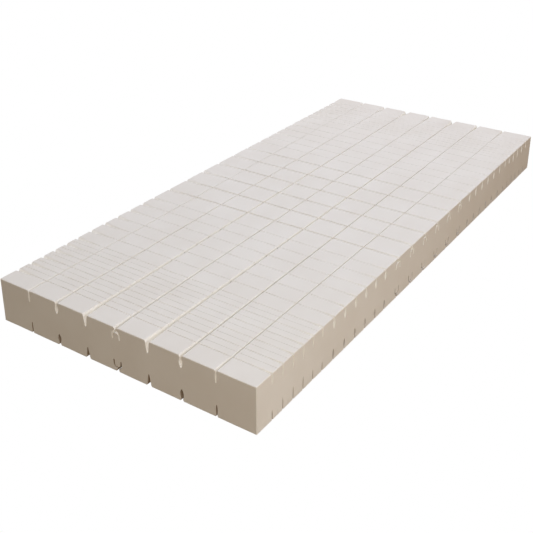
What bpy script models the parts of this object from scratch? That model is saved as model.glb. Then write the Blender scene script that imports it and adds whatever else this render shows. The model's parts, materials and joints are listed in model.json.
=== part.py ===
"""Foam core of a pressure relief mattress, lying flat, cut on both faces into a grid of cells.

Frame: metres, +Z up, origin under the middle of the core. +Y runs to the head end, +X across the width.
The core is one block of foam. Crosswise cuts thin it to a web, and it bends at those webs, so each row
of foam between two cuts is an object of its own. Rows meet at the webs with a hairline gap. Each row's
origin lies on the axis that it turns about, and its parent is the next row towards the seat.
"""

import bmesh
import bpy

# ---- Driving dimensions, in metres ----

LENGTH = 2.000
WIDTH = 0.900
THICKNESS = 0.140
WEB_GAP = 0.0003  # between two rows, at the web

CUT_DEPTH = 0.038  # of every crosswise cut, from either face
SLOT_DEPTH = 0.036  # of every lengthwise slot, from either face
SLOT_PITCH = 0.110  # between the lengthwise slots, the middle one at X = 0
SLOT_OVERRUN = 0.050  # how far a slot's cutter runs past each end of the core

# Crosswise cuts. Each zone has six, and the head half mirrors the foot half.
HOOK_PITCH = 0.097  # three hook cuts each side of the middle, under the hips
LENS_PITCH = 0.061  # six lens cuts, under the back and the legs
SLIT_PITCH = 0.048  # six slits, under the head and the feet
HOOK_CUTS_EACH_HALF = 3
CUTS_IN_ZONE = 6
HOOK_TO_LENS = 0.0855
LENS_TO_SLIT = 0.060

# Half outlines of the crosswise cuts: (half width, depth below the face), from the mouth down.
SLIT = [(0.0030, 0.0), (0.0010, CUT_DEPTH)]
LENS = [(0.0030, 0.0), (0.0060, 0.020), (0.0010, CUT_DEPTH)]

# A hook cut has a flared mouth, a bridge and two legs, with a tongue of foam standing between the legs.
HOOK_MOUTH = 0.0080  # half the mouth's width
HOOK_THROAT = 0.0030  # half the width where the mouth meets the bridge
HOOK_THROAT_DEPTH = 0.0135
HOOK_LEG_OUTER = 0.0140
HOOK_LEG_INNER = 0.0115
TONGUE_DEPTH = 0.0175  # of the tongue's top below the face


def hook(depth):
    """Half outline of a hook cut whose legs are that deep."""
    return [
        (HOOK_MOUTH, 0.0),
        (HOOK_THROAT, HOOK_THROAT_DEPTH),
        (HOOK_LEG_OUTER, HOOK_THROAT_DEPTH),
        (HOOK_LEG_OUTER, depth),
        (HOOK_LEG_INNER, depth),
        (HOOK_LEG_INNER, TONGUE_DEPTH),
    ]


HOOK = hook(CUT_DEPTH)

# Half outlines of the lengthwise slots. They end in a point or, in the hook, in the tongue's top.
THIN_SLOT = [(0.0040, 0.0), (0.0, SLOT_DEPTH)]
LENS_SLOT = [(0.0045, 0.0), (0.0080, 0.018), (0.0, SLOT_DEPTH)]
WEDGE_SLOT = [(0.0110, 0.0), (0.0065, 0.014), (0.0, SLOT_DEPTH)]
HOOK_SLOT = hook(SLOT_DEPTH)

# From the left edge to the right edge.
SLOTS = [THIN_SLOT, LENS_SLOT, WEDGE_SLOT, HOOK_SLOT, WEDGE_SLOT, LENS_SLOT, THIN_SLOT]

# Rows from the foot end to the head end, as (name, count).
ROW_GROUPS = [
    ("foot_row", 7),
    ("leg_row", 5),
    ("thigh_row", 3),
    ("seat_row", 1),
    ("lumbar_row", 3),
    ("back_row", 5),
    ("head_row", 7),
]

FOAM_COLOUR = (0.83, 0.79, 0.72, 1.0)
FOAM_ROUGHNESS = 0.95


def crosswise_cuts():
    """(Y, half outline) of every crosswise cut, from the foot end to the head end."""
    half = [(HOOK_PITCH * (0.5 + i), HOOK) for i in range(HOOK_CUTS_EACH_HALF)]
    first = half[-1][0] + HOOK_TO_LENS
    half += [(first + LENS_PITCH * i, LENS) for i in range(CUTS_IN_ZONE)]
    first = half[-1][0] + LENS_TO_SLIT
    half += [(first + SLIT_PITCH * i, SLIT) for i in range(CUTS_IN_ZONE)]
    return [(-y, shape) for y, shape in reversed(half)] + half


def folds_down(y):
    """The knee's cuts, from the first hook below the thigh to the last lens, fold the legs downwards."""
    knee_start = HOOK_PITCH * (HOOK_CUTS_EACH_HALF - 0.5)
    knee_end = knee_start + HOOK_TO_LENS + LENS_PITCH * (CUTS_IN_ZONE - 1)
    tolerance = SLIT_PITCH / 4
    return -knee_end - tolerance < y < -knee_start + tolerance


def axis_height(y, shape):
    """A fold turns about the edge of the web that closes: the upper one, or the lower one at the knee."""
    depth = TONGUE_DEPTH if shape is HOOK else CUT_DEPTH
    return depth if folds_down(y) else THICKNESS - depth


def row_names():
    names = []
    for name, count in ROW_GROUPS:
        names += [name] if count == 1 else [f"{name}_{i + 1}" for i in range(count)]
    return names


def side_outline(y, shape, side):
    """(Y, Z) points down a row's side at a cut, from the top face to the bottom one.
    side is +1 where the row lies past the cut, and -1 where it lies before it."""
    corner = (WEB_GAP / 2, shape[-1][1])
    top = [(y + side * half, THICKNESS - depth) for half, depth in shape + [corner]]
    bottom = [(py, THICKNESS - pz) for py, pz in reversed(top)]
    return top + bottom


def row_outline(start, end):
    """Closed (Y, Z) outline of a row between two cuts, each (Y, half outline), or the core's ends."""
    foot_side = side_outline(*start, +1) if start[1] else [(start[0], THICKNESS), (start[0], 0.0)]
    head_side = side_outline(*end, -1) if end[1] else [(end[0], THICKNESS), (end[0], 0.0)]
    return foot_side + head_side[::-1]


def prism(mesh, outline, axis, low, high):
    """Adds to mesh the solid that an outline sweeps along X (axis 0) or Y (axis 1), from low to high."""
    def place(a, b, along):
        return (along, a, b) if axis == 0 else (a, along, b)

    face = mesh.faces.new([mesh.verts.new(place(a, b, low)) for a, b in outline])
    swept = bmesh.ops.extrude_face_region(mesh, geom=[face])["geom"]
    moved = [item for item in swept if isinstance(item, bmesh.types.BMVert)]
    bmesh.ops.translate(mesh, verts=moved, vec=place(0.0, 0.0, high - low))


def finished_object(name, mesh, location=(0.0, 0.0, 0.0)):
    """Turns the faces outwards and puts the mesh in an object whose origin is at location."""
    bmesh.ops.recalc_face_normals(mesh, faces=mesh.faces)
    bmesh.ops.translate(mesh, verts=mesh.verts, vec=[-value for value in location])
    data = bpy.data.meshes.new(name)
    mesh.to_mesh(data)
    mesh.free()
    item = bpy.data.objects.new(name, data)
    item.location = location
    bpy.context.scene.collection.objects.link(item)
    return item


def slot_profile(x, shape):
    """Closed (X, Z) outline of a lengthwise slot, standing proud of the top face to cut through it."""
    depths = [(shape[0][0], -SLOT_DEPTH)] + shape
    right = [(x + half, THICKNESS - depth) for half, depth in depths]
    left = [(x - half, THICKNESS - depth) for half, depth in depths if half > 0.0]
    return right + left[::-1]


def slot_cutter():
    """One cutter with every lengthwise slot of both faces."""
    mesh = bmesh.new()
    reach = LENGTH / 2 + SLOT_OVERRUN
    middle = (len(SLOTS) - 1) / 2
    for i, shape in enumerate(SLOTS):
        upper = slot_profile((i - middle) * SLOT_PITCH, shape)
        prism(mesh, upper, 1, -reach, reach)
        prism(mesh, [(x, THICKNESS - z) for x, z in upper], 1, -reach, reach)
    cutter = finished_object("slot_cutter", mesh)
    cutter.display_type = "WIRE"
    cutter.hide_render = True
    return cutter


def foam(name):
    material = bpy.data.materials.new(name + "_foam")
    material.use_nodes = True
    shader = material.node_tree.nodes["Principled BSDF"]
    shader.inputs["Base Color"].default_value = FOAM_COLOUR
    shader.inputs["Roughness"].default_value = FOAM_ROUGHNESS
    shader.inputs["Metallic"].default_value = 0.0
    return material


def foam_row(name, start, end, hinge, cutter):
    """One row of foam, with its origin at hinge = (Y, Z) of the axis it turns about."""
    mesh = bmesh.new()
    prism(mesh, row_outline(start, end), 0, -WIDTH / 2, WIDTH / 2)
    row = finished_object(name, mesh, (0.0, *hinge))
    row.data.materials.append(foam(name))
    slots = row.modifiers.new("lengthwise_slots", "BOOLEAN")
    slots.operation = "DIFFERENCE"
    slots.solver = "EXACT"
    slots.object = cutter
    return row


def hang_on(row, parent):
    """Parents a row to its neighbour and leaves it where it is."""
    row.location -= parent.matrix_world.translation
    row.parent = parent
    bpy.context.view_layer.update()


def build():
    for item in list(bpy.data.objects):
        bpy.data.objects.remove(item)
    cutter = slot_cutter()
    cuts = crosswise_cuts()
    bounds = [(-LENGTH / 2, None), *cuts, (LENGTH / 2, None)]
    names = row_names()
    seat = names.index("seat_row")
    rows = []
    for i, name in enumerate(names):
        inner = bounds[i + 1] if i < seat else bounds[i]
        hinge = (0.0, 0.0) if i == seat else (inner[0], axis_height(*inner))
        rows.append(foam_row(name, bounds[i], bounds[i + 1], hinge, cutter))
    bpy.context.view_layer.update()
    for i in range(seat - 1, -1, -1):
        hang_on(rows[i], rows[i + 1])
    for i in range(seat + 1, len(rows)):
        hang_on(rows[i], rows[i - 1])


build()
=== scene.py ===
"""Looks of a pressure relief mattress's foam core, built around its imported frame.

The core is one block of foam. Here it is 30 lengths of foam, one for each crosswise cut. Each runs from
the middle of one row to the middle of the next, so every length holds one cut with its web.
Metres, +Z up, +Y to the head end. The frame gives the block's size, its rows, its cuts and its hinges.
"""

import json
import math

import bmesh
import bpy
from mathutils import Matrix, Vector, noise


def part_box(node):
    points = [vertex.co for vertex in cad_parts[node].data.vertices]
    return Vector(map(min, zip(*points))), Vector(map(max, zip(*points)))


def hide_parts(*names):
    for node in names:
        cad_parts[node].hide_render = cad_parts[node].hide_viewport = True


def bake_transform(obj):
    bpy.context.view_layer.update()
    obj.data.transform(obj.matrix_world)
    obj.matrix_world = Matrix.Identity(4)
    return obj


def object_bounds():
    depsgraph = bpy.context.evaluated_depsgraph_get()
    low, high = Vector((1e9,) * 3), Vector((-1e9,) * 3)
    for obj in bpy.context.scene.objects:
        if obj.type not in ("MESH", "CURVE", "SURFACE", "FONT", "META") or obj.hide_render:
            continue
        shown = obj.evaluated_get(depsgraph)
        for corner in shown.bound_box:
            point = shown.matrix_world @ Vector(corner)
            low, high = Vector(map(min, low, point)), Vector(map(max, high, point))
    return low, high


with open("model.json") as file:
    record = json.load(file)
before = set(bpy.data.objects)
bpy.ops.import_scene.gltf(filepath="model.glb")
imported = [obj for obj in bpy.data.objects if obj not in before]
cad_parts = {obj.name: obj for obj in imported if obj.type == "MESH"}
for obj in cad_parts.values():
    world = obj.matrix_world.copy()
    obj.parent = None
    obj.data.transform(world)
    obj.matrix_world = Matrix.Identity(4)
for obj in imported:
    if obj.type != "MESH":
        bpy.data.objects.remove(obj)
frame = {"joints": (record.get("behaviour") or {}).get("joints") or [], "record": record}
CAD_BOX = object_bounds()
HIGH = CAD_BOX[1]  # its corner at the right, the head end and the top

HALF_WIDTH = HIGH.x
HALF_LENGTH = HIGH.y
THICKNESS = HIGH.z
TOLERANCE = 1e-5

# ---- Sizes of the foam's shape, in metres ----

EDGE_RADIUS = 0.0025  # of the block's outer edges

# Into how many steps the round stretches are divided.
EDGE_STEPS = 4
LIP_STEPS = 5
TIP_STEPS = 3
BELLY_STEPS = 8
ARCH_STEPS = 7
LEG_STEPS = 6
TONGUE_STEPS = 7

# Crosswise cuts. The three kinds follow one another from the seat outwards.
HOOKS_EACH_HALF = 3
LENSES_EACH_HALF = 6
SLIT_DEPTHS = [0.031, 0.035, 0.043, 0.041, 0.038, 0.032]  # from the inner one outwards
CUT_LIP = (0.0050, 0.0060)  # width and depth of the rounding from the face into a crosswise cut
SLIT_SWELLS = (0.5, 1.75)  # at the foot end and at the head end, as shares of half the mouth's width
SLIT_TIP = 0.0006  # half the width
LENS_DEPTH = 0.037
LENS_SWELL = 0.0042  # how much the middle stands out from a straight taper, on either side
LENS_TIP = 0.0010
HOOK_DEPTH = 0.038
HOOK_MOUTH = 0.0028
NOTCH_DEPTH = 0.015  # of the fine notch halfway between two slits
NOTCH_LIP = (0.0014, 0.0014)
NOTCH_WIDTH = 0.0004  # half of it

# A hook's arch and its two legs, with a round-topped tongue of foam between them. Depths are below the
# face.
ARCH_TOP = 0.0090
TONGUE_TOP = 0.0165
SPRING = 0.024  # where the legs leave the arch
HOOK_OUTER = 0.0146  # half the width over the legs
HOOK_INNER = 0.0100  # half the width between them
HOOK_LIP_DEPTH = 0.0080  # the most that fits above the arch

# How far the cuts gape: (share of the lip's size, half the mouth's width).
LEFT_GAPE = (2.0, 0.0018)
RIGHT_GAPE = (0.8, 0.0020)
MIDDLE_GAPE = (0.45, 0.0005)
LEFT_REACH = 0.090  # how far in from the side the gaping takes to end
RIGHT_REACH = 0.050

# Lengthwise slots, seven of them from edge to edge.
SLOT_PITCH = 0.110
SLOT_DEPTH = 0.037
SLOT_OVERRUN = 0.030  # of the cutter past the block, at the ends and above the face
THIN_MOUTH = 0.0020  # half the width, here and below
THIN_LIP = (0.0042, 0.0065)
THIN_SWELL = 0.0010
THIN_TIP = 0.0014
TEARDROP_MOUTH = 0.0030
TEARDROP_LIP = (0.0050, 0.0090)
TEARDROP_SWELL = 0.0034
TEARDROP_TIP = 0.0024
WEDGE_MOUTH = 0.0056
WEDGE_LIP = (0.0056, 0.0120)
WEDGE_WAIST = 0.0050
WEDGE_WAIST_SHARE = 0.45  # of the slot's depth, down to the waist
WEDGE_TIP = 0.0022
HOOKED_MOUTH = 0.0034
HOOKED_LIP = (0.0060, 0.0078)

# How far the slots spread, as a share of their widths.
FOOT_SPREAD = 1.0
INNER_SPREADS = (0.66, 0.20)  # in from the foot end and in from the head end
HEAD_SPREAD = 1.4
END_REACH = 0.100  # how far in from an end the spread takes to settle

# How finely the foam is divided, so that it bends smoothly and its cut faces can waver.
STRIP_ALONG = 0.012
STRIP_ACROSS = 0.030
WAVER = 0.0005
WAVER_PER_METRE = 16.0
WAVER_SEED = 1
SHARP_ANGLE = math.radians(38)  # between two faces, where shading stops being smooth

# The walls of the cuts carry a mark for painted light: a painted glow on upper walls, standing in for light
# that soaks through the foam from above, and painted shade on lower walls.
PAINTED_LIGHT_MARK = "wall"
PAINTED_LIGHT_FADE = 0.005  # depth over which a wall's painted glow and painted shade set in
CROSSWISE_PAINTED_SHADE = 0.12  # the least painted shade on a lower wall, where it runs crosswise
SKIN_SLOPE = 0.25  # a face near a side or an end is no wall if its normal points outwards by this much

# ---- Foam ----

FOAM_ROUGHNESS = 0.95
FOAM_SPECULAR = 0.15
MOTTLE_SCALE = 7.0
MOTTLE_DETAIL = 3.0
MOTTLE_TONES = [(0.35, (0.800, 0.765, 0.715, 1.0)), (0.65, (0.825, 0.795, 0.750, 1.0))]  # (noise, colour)
# Painted glow on upper cut walls, for light that soaks through the foam, and painted shade on lower ones.
UPPER_WALL_PAINTED_GLOW = (0.992, 0.974, 0.932, 1.0)
LOWER_WALL_PAINTED_SHADE = (0.52, 0.43, 0.34, 1.0)
PORE_SCALE = 520.0
PORE_DEPTH = 0.0006
PORE_STRENGTH = 0.35

# ---- The studio ----

WHITE = (1.0, 1.0, 1.0, 1.0)
SKY_ABOVE = (0.45, 0.40, 0.33, 1.0)
SKY_BELOW = (0.10, 0.07, 0.04, 1.0)
FLOOR_REACH = 30.0
FLOOR_DROP = 0.75
CAMERA_PLACE = (1.392, -2.355, 1.396)
CAMERA_AIM = (-0.4104, 0.3179, 0.07)
CAMERA_SENSOR = 36.0  # its width, in millimetres
CAMERA_LENS = 57.77  # in millimetres
CAMERA_SHIFT = -0.20  # upwards, as a share of the frame's width
LIGHT_BOUNCES = 12  # between pale walls that face each other

# Each light's name, place, target, (width, height), watts and colour.
LIGHTS = [
    ("overhead", (0.0, 0.1, 2.2), (0.0, 0.1, 0.1), (3.0, 4.0), 34.6, (0.60, 0.74, 1.0)),
    ("far_softbox", (0.0, 1.6, 2.4), (0.0, 0.9, 0.1), (2.4, 2.0), 12.5, (1.0, 0.92, 0.98)),
    ("side_softbox", (2.6, -1.5, 0.9), (0.45, -0.8, 0.07), (1.2, 1.2), 20.6, (0.90, 0.95, 0.97)),
    ("corner_softbox", (1.8, -3.0, 1.0), (0.4, -0.9, 0.07), (1.2, 1.2), 9.5, (1.0, 0.71, 0.44)),
    ("back_softbox", (-2.8, 2.4, 0.9), (-0.45, 0.6, 0.07), (1.6, 1.2), 14.0, (1.0, 0.94, 0.88)),
    ("side_glow", (3.0, 0.3, 0.2), (0.45, 0.5, 0.07), (3.0, 0.8), 6.0, (1.0, 0.45, 0.06)),
]
SHADOWLESS = "overhead"  # light that soaks through foam casts no hard shadow into its cuts


# ---- Outlines of the cuts: lists of (half width, depth below the face), from the mouth to the middle ----


def turn(steps):
    """Angles of a quarter turn, from 0 to 90 degrees."""
    return [math.pi / 2 * i / steps for i in range(steps + 1)]


def lip(half, size):
    """A rounded lip of that width and depth, from the face to the cut's wall."""
    width, depth = size
    return [(half + width * (1 - math.sin(a)), depth * (1 - math.cos(a))) for a in turn(LIP_STEPS)]


def round_tip(half, depth):
    """A cut's round bottom, from its wall to the middle."""
    return [(half * math.cos(a), depth - half + half * math.sin(a)) for a in turn(TIP_STEPS)]


def belly(mouth, tip, swell, start, end):
    """A wall that swells between its mouth and its tip. Its two ends are left out."""
    shares = [i / BELLY_STEPS for i in range(1, BELLY_STEPS)]
    return [(mouth + (tip - mouth) * t + swell * math.sin(math.pi * t), start + (end - start) * t)
            for t in shares]


def slit(mouth, size, tip, depth):
    """A lip, and straight walls down to a round tip."""
    return lip(mouth, size) + round_tip(tip, depth)


def lens(mouth, size, swell, tip, depth):
    """A lip, and walls that swell out before they meet at a round tip."""
    return lip(mouth, size) + belly(mouth, tip, swell, size[1], depth - tip) + round_tip(tip, depth)


def hook(mouth, size, depth):
    """A flared mouth, an arch, two legs with round feet, and the tongue between them."""
    start = math.asin(mouth / HOOK_OUTER)
    angles = [start + (math.pi / 2 - start) * i / ARCH_STEPS for i in range(ARCH_STEPS + 1)]
    rise = SPRING - ARCH_TOP
    arch = [(HOOK_OUTER * math.sin(a), SPRING - rise * math.cos(a)) for a in angles]
    foot = (HOOK_OUTER - HOOK_INNER) / 2
    middle = (HOOK_OUTER + HOOK_INNER) / 2
    leg = [(middle + foot * math.cos(2 * a), depth - foot + foot * math.sin(2 * a))
           for a in turn(LEG_STEPS)]
    rise = SPRING - TONGUE_TOP
    tongue = [(HOOK_INNER * math.cos(a), SPRING - rise * math.sin(a)) for a in turn(TONGUE_STEPS)]
    width, lip_depth = size
    return lip(mouth, (width, min(lip_depth, HOOK_LIP_DEPTH))) + arch + leg + tongue


def wedge(mouth, size, waist, tip, depth):
    """A trumpet mouth, a waist with near parallel walls, and a taper to a narrow tip."""
    return lip(mouth, size) + [(waist, depth * WEDGE_WAIST_SHARE)] + round_tip(tip, depth)


def scaled(size, share):
    """A (width, depth) times a share."""
    return size[0] * share, size[1] * share


def slot_outlines(spread):
    """Half outlines of the lengthwise slots, from the left edge to the right edge."""
    thin = lens(THIN_MOUTH * spread, scaled(THIN_LIP, spread), THIN_SWELL, THIN_TIP, SLOT_DEPTH)
    teardrop = lens(TEARDROP_MOUTH * spread, scaled(TEARDROP_LIP, spread), TEARDROP_SWELL * spread,
                    TEARDROP_TIP, SLOT_DEPTH)
    flared = wedge(WEDGE_MOUTH * spread, scaled(WEDGE_LIP, spread), WEDGE_WAIST * spread,
                   WEDGE_TIP, SLOT_DEPTH)
    hooked = hook(HOOKED_MOUTH * spread, scaled(HOOKED_LIP, spread), SLOT_DEPTH)
    return [thin, teardrop, flared, hooked, flared, teardrop, thin]


# ---- The frame's rows and hinges ----


def rows_and_hinges():
    """Bodies from the foot end to the head end, each with its node and box, and the hinges between them."""
    members = frame["record"]["behaviour"]["bodies"]
    rows = [(body, nodes[0], *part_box(nodes[0])) for body, nodes in members.items()]
    rows.sort(key=lambda row: row[2].y)
    hinges = sorted(frame["joints"], key=lambda joint: joint["pos_m"][1])
    return rows, hinges


def cut_outline(index, count, gape):
    """Half outline of a crosswise cut that gapes so much. index counts from the foot."""
    share, mouth = gape
    size = scaled(CUT_LIP, share)
    half = count // 2
    from_seat = index - half if index >= half else half - 1 - index
    if from_seat < HOOKS_EACH_HALF:
        return hook(HOOK_MOUTH, size, HOOK_DEPTH)
    if from_seat < HOOKS_EACH_HALF + LENSES_EACH_HALF:
        return lens(mouth, size, LENS_SWELL, LENS_TIP, LENS_DEPTH)
    depth = SLIT_DEPTHS[from_seat - HOOKS_EACH_HALF - LENSES_EACH_HALF]
    swell = mouth * SLIT_SWELLS[index >= half]
    return lens(mouth, size, swell, SLIT_TIP, depth)


def notched(row_index, count):
    """True for a row that lies between two slits."""
    slits = len(SLIT_DEPTHS)
    return 1 <= row_index < slits or 1 <= count - 1 - row_index < slits


# ---- Mesh of one length of foam ----


def across(half):
    """A whole outline from its half: (offset, depth) from one lip to the other."""
    return [(-offset, depth) for offset, depth in half] + half[-2::-1]


def row_side(end, gape):
    """(Y, depth) points of one end of a length of foam, up to its face.
    end is (Y, True where the block ends, True where a fine notch is cut)."""
    y, ends_block, has_notch = end
    if ends_block:
        return [(y + EDGE_RADIUS * (1 - math.sin(a)), EDGE_RADIUS * (1 - math.cos(a)))
                for a in reversed(turn(EDGE_STEPS))]
    if has_notch:
        half = slit(NOTCH_WIDTH, scaled(NOTCH_LIP, gape[0]), NOTCH_WIDTH, NOTCH_DEPTH)
        return [(y + offset, depth) for offset, depth in reversed(half)]
    return [(y, 0.0)]


def side_profile(start, cut, end, gape):
    """Closed (Y, Z) profile of a length of foam. cut is (Y, its place from the foot, number of cuts)."""
    y, index, count = cut
    outline = cut_outline(index, count, gape)
    mirrored = row_side((-end[0], *end[1:]), gape)
    upper = row_side(start, gape)
    upper += [(y + offset, depth) for offset, depth in across(outline)]
    upper += [(-py, depth) for py, depth in reversed(mirrored)]
    top = [(py, THICKNESS - depth) for py, depth in upper]
    return top + [(py, depth) for py, depth in reversed(upper)]


def skin(mesh, rings):
    """Joins rings of vertices into one closed body."""
    for ring, following in zip(rings, rings[1:]):
        for i in range(len(ring)):
            j = (i + 1) % len(ring)
            mesh.faces.new((ring[i], ring[j], following[j], following[i]))
    mesh.faces.new(rings[0])
    mesh.faces.new(rings[-1])


def loft(start, cut, end):
    """A length of foam from side to side, with its outer edges rounded and its cut gaping at both sides."""
    middle = side_profile(start, cut, end, MIDDLE_GAPE)

    def half(side, gape, reach):
        """Sections from the middle to one side: (X, inset of the rounded edge, profile)."""
        edge = side_profile(start, cut, end, gape)
        sections = [(side * (HALF_WIDTH - reach), 0.0, middle)]
        for a in turn(EDGE_STEPS):
            x = HALF_WIDTH - EDGE_RADIUS * (1 - math.sin(a))
            sections.append((side * x, EDGE_RADIUS * (1 - math.cos(a)), edge))
        return sections

    mesh = bmesh.new()
    rings = []
    for x, inset, profile in half(-1, LEFT_GAPE, LEFT_REACH)[::-1] + half(1, RIGHT_GAPE, RIGHT_REACH):
        ring = []
        for y, z in profile:
            y = min(max(y, -HALF_LENGTH + inset), HALF_LENGTH - inset)
            z = min(max(z, inset), THICKNESS - inset)
            ring.append(mesh.verts.new((x, y, z)))
        rings.append(ring)
    skin(mesh, rings)
    bmesh.ops.recalc_face_normals(mesh, faces=mesh.faces)
    return mesh


def new_object(name, mesh):
    """An object in the scene with that mesh, which is freed."""
    data = bpy.data.meshes.new(name)
    mesh.to_mesh(data)
    mesh.free()
    item = bpy.data.objects.new(name, data)
    bpy.context.scene.collection.objects.link(item)
    return item


def slot_cutter():
    """The lengthwise slots of both faces as one cutter. They spread towards the block's ends."""
    mesh = bmesh.new()
    reach = HALF_LENGTH + SLOT_OVERRUN
    inner = HALF_LENGTH - END_REACH
    spreads = [(-reach, FOOT_SPREAD), (-HALF_LENGTH, FOOT_SPREAD), (-inner, INNER_SPREADS[0]),
               (inner, INNER_SPREADS[1]), (HALF_LENGTH, HEAD_SPREAD), (reach, HEAD_SPREAD)]
    stations = [(y, slot_outlines(spread)) for y, spread in spreads]
    count = len(stations[0][1])
    for i in range(count):
        x = (i - (count - 1) / 2) * SLOT_PITCH
        for upper in (True, False):
            rings = []
            for y, outlines in stations:
                rim = outlines[i][0][0]
                outline = [(-rim, -SLOT_OVERRUN)] + across(outlines[i]) + [(rim, -SLOT_OVERRUN)]
                rings.append([mesh.verts.new((x + offset, y, THICKNESS - depth if upper else depth))
                              for offset, depth in outline])
            skin(mesh, rings)
    bmesh.ops.recalc_face_normals(mesh, faces=mesh.faces)
    return new_object("slot_cutter", mesh)


def divide(mesh, low, high, pitch, axis):
    """Cuts the mesh into strips along X (axis 0) or Y (axis 1)."""
    count = max(1, round((high - low) / pitch))
    normal = Vector((0.0, 0.0, 0.0))
    normal[axis] = 1.0
    for i in range(1, count):
        at = normal * (low + (high - low) * i / count)
        everything = [*mesh.verts, *mesh.edges, *mesh.faces]
        bmesh.ops.bisect_plane(mesh, geom=everything, plane_co=at, plane_no=normal, dist=TOLERANCE)


def waver(mesh):
    """Moves each point a little, by a smooth field, as cut foam is never quite straight."""
    for vert in mesh.verts:
        shift = noise.noise_vector(vert.co * WAVER_PER_METRE) * WAVER
        vert.co += shift
        vert.co.z = max(vert.co.z, 0.0)  # it lies on its underside


def on_skin(face):
    """True for a face of the block's outside, and False for the wall of a cut or a slot."""
    middle, normal = face.calc_center_median(), face.normal
    at_side = abs(middle.x) > HALF_WIDTH - EDGE_RADIUS and abs(normal.x) > SKIN_SLOPE
    at_end = abs(middle.y) > HALF_LENGTH - EDGE_RADIUS and abs(normal.y) > SKIN_SLOPE
    at_face = min(middle.z, THICKNESS - middle.z) < TOLERANCE
    return at_side or at_end or at_face


def paint_wall_light(mesh):
    """Stores painted light for each corner by how far it lies inside a cut: up to 1, a painted glow, in
    upper cuts, and down to -1, painted shade, in lower ones, most where a lower wall faces sideways.
    """
    layer = mesh.loops.layers.float.new(PAINTED_LIGHT_MARK)
    for face in mesh.faces:
        wall = 0.0 if on_skin(face) else 1.0
        # painted shade on lower walls, strongest where they face sideways
        painted_shade = -max(abs(face.normal.x), CROSSWISE_PAINTED_SHADE)
        for corner in face.loops:
            z = corner.vert.co.z
            share = min(1.0, min(z, THICKNESS - z) / PAINTED_LIGHT_FADE)
            smooth = share * share * (3.0 - 2.0 * share)
            corner[layer] = wall * smooth * (1.0 if z > THICKNESS / 2 else painted_shade)


def foam_length(name, start, cut, end, cutter):
    """One length of foam with its slots cut, finely divided, and smooth except at its sharp edges."""
    base = new_object(name + "_base", loft(start, cut, end))
    slots = base.modifiers.new("slots", "BOOLEAN")
    slots.operation = "DIFFERENCE"
    slots.solver = "EXACT"
    slots.object = cutter
    evaluated = base.evaluated_get(bpy.context.evaluated_depsgraph_get())
    mesh = bmesh.new()
    mesh.from_mesh(evaluated.to_mesh())
    bpy.data.objects.remove(base)
    divide(mesh, start[0], cut[0], STRIP_ALONG, 1)
    divide(mesh, cut[0], end[0], STRIP_ALONG, 1)
    divide(mesh, -HALF_WIDTH, HALF_WIDTH, STRIP_ACROSS, 0)
    mesh.normal_update()
    paint_wall_light(mesh)
    waver(mesh)
    item = new_object(name, mesh)
    item.data.shade_smooth()
    item.data.set_sharp_from_angle(angle=SHARP_ANGLE)
    weighted = item.modifiers.new("weighted_normals", "WEIGHTED_NORMAL")
    weighted.keep_sharp = True
    return item


# ---- Foam material ----


def foam_material():
    """Pale foam with a faint mottle and fine pores. The mark on the cut walls paints a glow on the upper
    ones and shade on the lower ones.
    """
    material = bpy.data.materials.new("cut_foam")
    material.use_nodes = True
    nodes, links = material.node_tree.nodes, material.node_tree.links
    shader = nodes["Principled BSDF"]
    shader.inputs["Roughness"].default_value = FOAM_ROUGHNESS
    shader.inputs["Specular IOR Level"].default_value = FOAM_SPECULAR

    place = nodes.new("ShaderNodeTexCoord")
    mottle = nodes.new("ShaderNodeTexNoise")
    mottle.inputs["Scale"].default_value = MOTTLE_SCALE
    mottle.inputs["Detail"].default_value = MOTTLE_DETAIL
    links.new(place.outputs["Object"], mottle.inputs["Vector"])
    tones = nodes.new("ShaderNodeValToRGB")
    for element, (position, tone) in zip(tones.color_ramp.elements, MOTTLE_TONES):
        element.position = position
        element.color = tone
    links.new(mottle.outputs["Fac"], tones.inputs["Fac"])

    painted_mark = nodes.new("ShaderNodeAttribute")
    painted_mark.attribute_name = PAINTED_LIGHT_MARK

    def with_painted_light(colour, sign, painted_colour):
        """The colour, turned towards the given painted colour on walls whose mark has that sign: a painted
        glow above, painted shade below.
        """
        share = nodes.new("ShaderNodeMath")
        share.operation = "MULTIPLY"
        share.use_clamp = True
        share.inputs[1].default_value = sign
        links.new(painted_mark.outputs["Fac"], share.inputs[0])
        mix = nodes.new("ShaderNodeMixRGB")
        mix.inputs["Color2"].default_value = painted_colour
        links.new(share.outputs["Value"], mix.inputs["Fac"])
        links.new(colour, mix.inputs["Color1"])
        return mix.outputs["Color"]

    # Painted glow on the upper cut walls.
    colour = with_painted_light(tones.outputs["Color"], 1.0, UPPER_WALL_PAINTED_GLOW)
    # Painted shade on the lower cut walls.
    colour = with_painted_light(colour, -1.0, LOWER_WALL_PAINTED_SHADE)
    links.new(colour, shader.inputs["Base Color"])

    pores = nodes.new("ShaderNodeTexVoronoi")
    pores.inputs["Scale"].default_value = PORE_SCALE
    links.new(place.outputs["Object"], pores.inputs["Vector"])
    grain = nodes.new("ShaderNodeBump")
    grain.inputs["Strength"].default_value = PORE_STRENGTH
    grain.inputs["Distance"].default_value = PORE_DEPTH
    links.new(pores.outputs["Distance"], grain.inputs["Height"])
    links.new(grain.outputs["Normal"], shader.inputs["Normal"])
    return material


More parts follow.
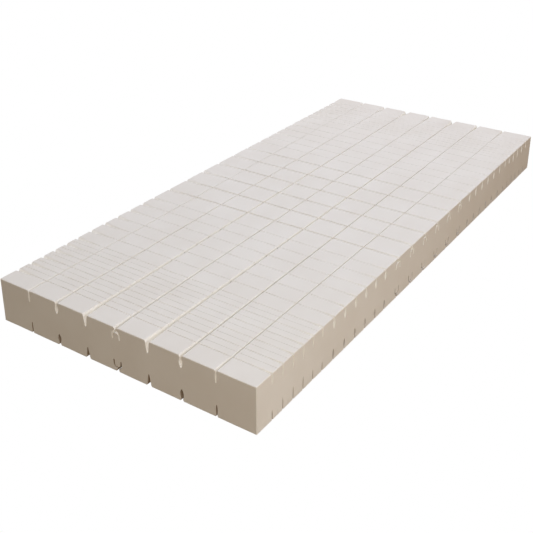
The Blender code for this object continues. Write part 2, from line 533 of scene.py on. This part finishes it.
def build_foam():
    """A length of foam for each hinge, from the row before the hinge to the row after it."""
    rows, hinges = rows_and_hinges()
    material = foam_material()
    cutter = slot_cutter()
    noise.seed_set(WAVER_SEED)
    middles = [(row[2].y + row[3].y) / 2 for row in rows]
    for i, hinge in enumerate(hinges):
        before, after = rows[i], rows[i + 1]
        at_foot, at_head = i == 0, i == len(hinges) - 1
        start = (-HALF_LENGTH if at_foot else middles[i], at_foot, notched(i, len(rows)))
        end = (HALF_LENGTH if at_head else middles[i + 1], at_head, notched(i + 1, len(rows)))
        cut = (hinge["pos_m"][1], i, len(hinges))
        piece = foam_length("foam_" + hinge["name"], start, cut, end, cutter)
        piece.data.materials.append(material)
        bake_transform(piece)
        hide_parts(before[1], after[1])
    bpy.data.objects.remove(cutter)


# ---- Studio ----


def area_light(name, location, target, size, power, colour):
    """A soft light that faces its target."""
    data = bpy.data.lights.new(name, "AREA")
    data.shape = "RECTANGLE"
    data.size, data.size_y = size
    data.energy = power
    data.color = colour
    data.use_shadow = name != SHADOWLESS
    light = bpy.data.objects.new(name, data)
    light.location = location
    light.rotation_euler = (Vector(target) - Vector(location)).to_track_quat("-Z", "Y").to_euler()
    bpy.context.scene.collection.objects.link(light)


def lights():
    """A cool light overhead, softboxes around the core, and a warm glow low down on the right."""
    for light in LIGHTS:
        area_light(*light)


def sky():
    """A warm dome above and a dim one below. Seen directly, it is plain white."""
    world = bpy.data.worlds.new("studio")
    bpy.context.scene.world = world
    world.use_nodes = True
    nodes, links = world.node_tree.nodes, world.node_tree.links
    background = nodes["Background"]
    direction = nodes.new("ShaderNodeTexCoord")
    parts = nodes.new("ShaderNodeSeparateXYZ")
    links.new(direction.outputs["Generated"], parts.inputs["Vector"])
    above = nodes.new("ShaderNodeMath")
    above.operation = "GREATER_THAN"
    above.inputs[1].default_value = 0.0
    links.new(parts.outputs["Z"], above.inputs[0])
    halves = nodes.new("ShaderNodeMixRGB")
    halves.inputs["Color1"].default_value = SKY_BELOW
    halves.inputs["Color2"].default_value = SKY_ABOVE
    links.new(above.outputs["Value"], halves.inputs["Fac"])
    ray = nodes.new("ShaderNodeLightPath")
    seen = nodes.new("ShaderNodeMixRGB")
    seen.inputs["Color2"].default_value = WHITE
    links.new(ray.outputs["Is Camera Ray"], seen.inputs["Fac"])
    links.new(halves.outputs["Color"], seen.inputs["Color1"])
    links.new(seen.outputs["Color"], background.inputs["Color"])


def floor():
    """A plain white floor, seen from above only. It is low enough for legs that are let down."""
    mesh = bmesh.new()
    bmesh.ops.create_grid(mesh, x_segments=1, y_segments=1, size=FLOOR_REACH)
    item = new_object("floor", mesh)
    item.location.z = -FLOOR_DROP
    material = bpy.data.materials.new("pale_floor")
    material.use_nodes = True
    nodes, links = material.node_tree.nodes, material.node_tree.links
    nodes.remove(nodes["Principled BSDF"])
    glow = nodes.new("ShaderNodeEmission")
    glow.inputs["Color"].default_value = WHITE
    clear = nodes.new("ShaderNodeBsdfTransparent")
    side = nodes.new("ShaderNodeNewGeometry")
    mix = nodes.new("ShaderNodeMixShader")
    links.new(side.outputs["Backfacing"], mix.inputs["Fac"])
    links.new(glow.outputs["Emission"], mix.inputs[1])
    links.new(clear.outputs["BSDF"], mix.inputs[2])
    links.new(mix.outputs["Shader"], nodes["Material Output"].inputs["Surface"])
    item.data.materials.append(material)
    item.visible_diffuse = False
    item.visible_glossy = False
    item.visible_shadow = False


def camera():
    data = bpy.data.cameras.new("camera")
    data.sensor_width = CAMERA_SENSOR
    data.lens = CAMERA_LENS
    data.shift_y = CAMERA_SHIFT
    item = bpy.data.objects.new("camera", data)
    item.location = CAMERA_PLACE
    item.rotation_euler = (Vector(CAMERA_AIM) - item.location).to_track_quat("-Z", "Y").to_euler()
    bpy.context.scene.collection.objects.link(item)
    bpy.context.scene.camera = item


build_foam()
lights()
sky()
floor()
camera()
bpy.context.scene.view_settings.view_transform = "Standard"
bpy.context.scene.cycles.diffuse_bounces = LIGHT_BOUNCES
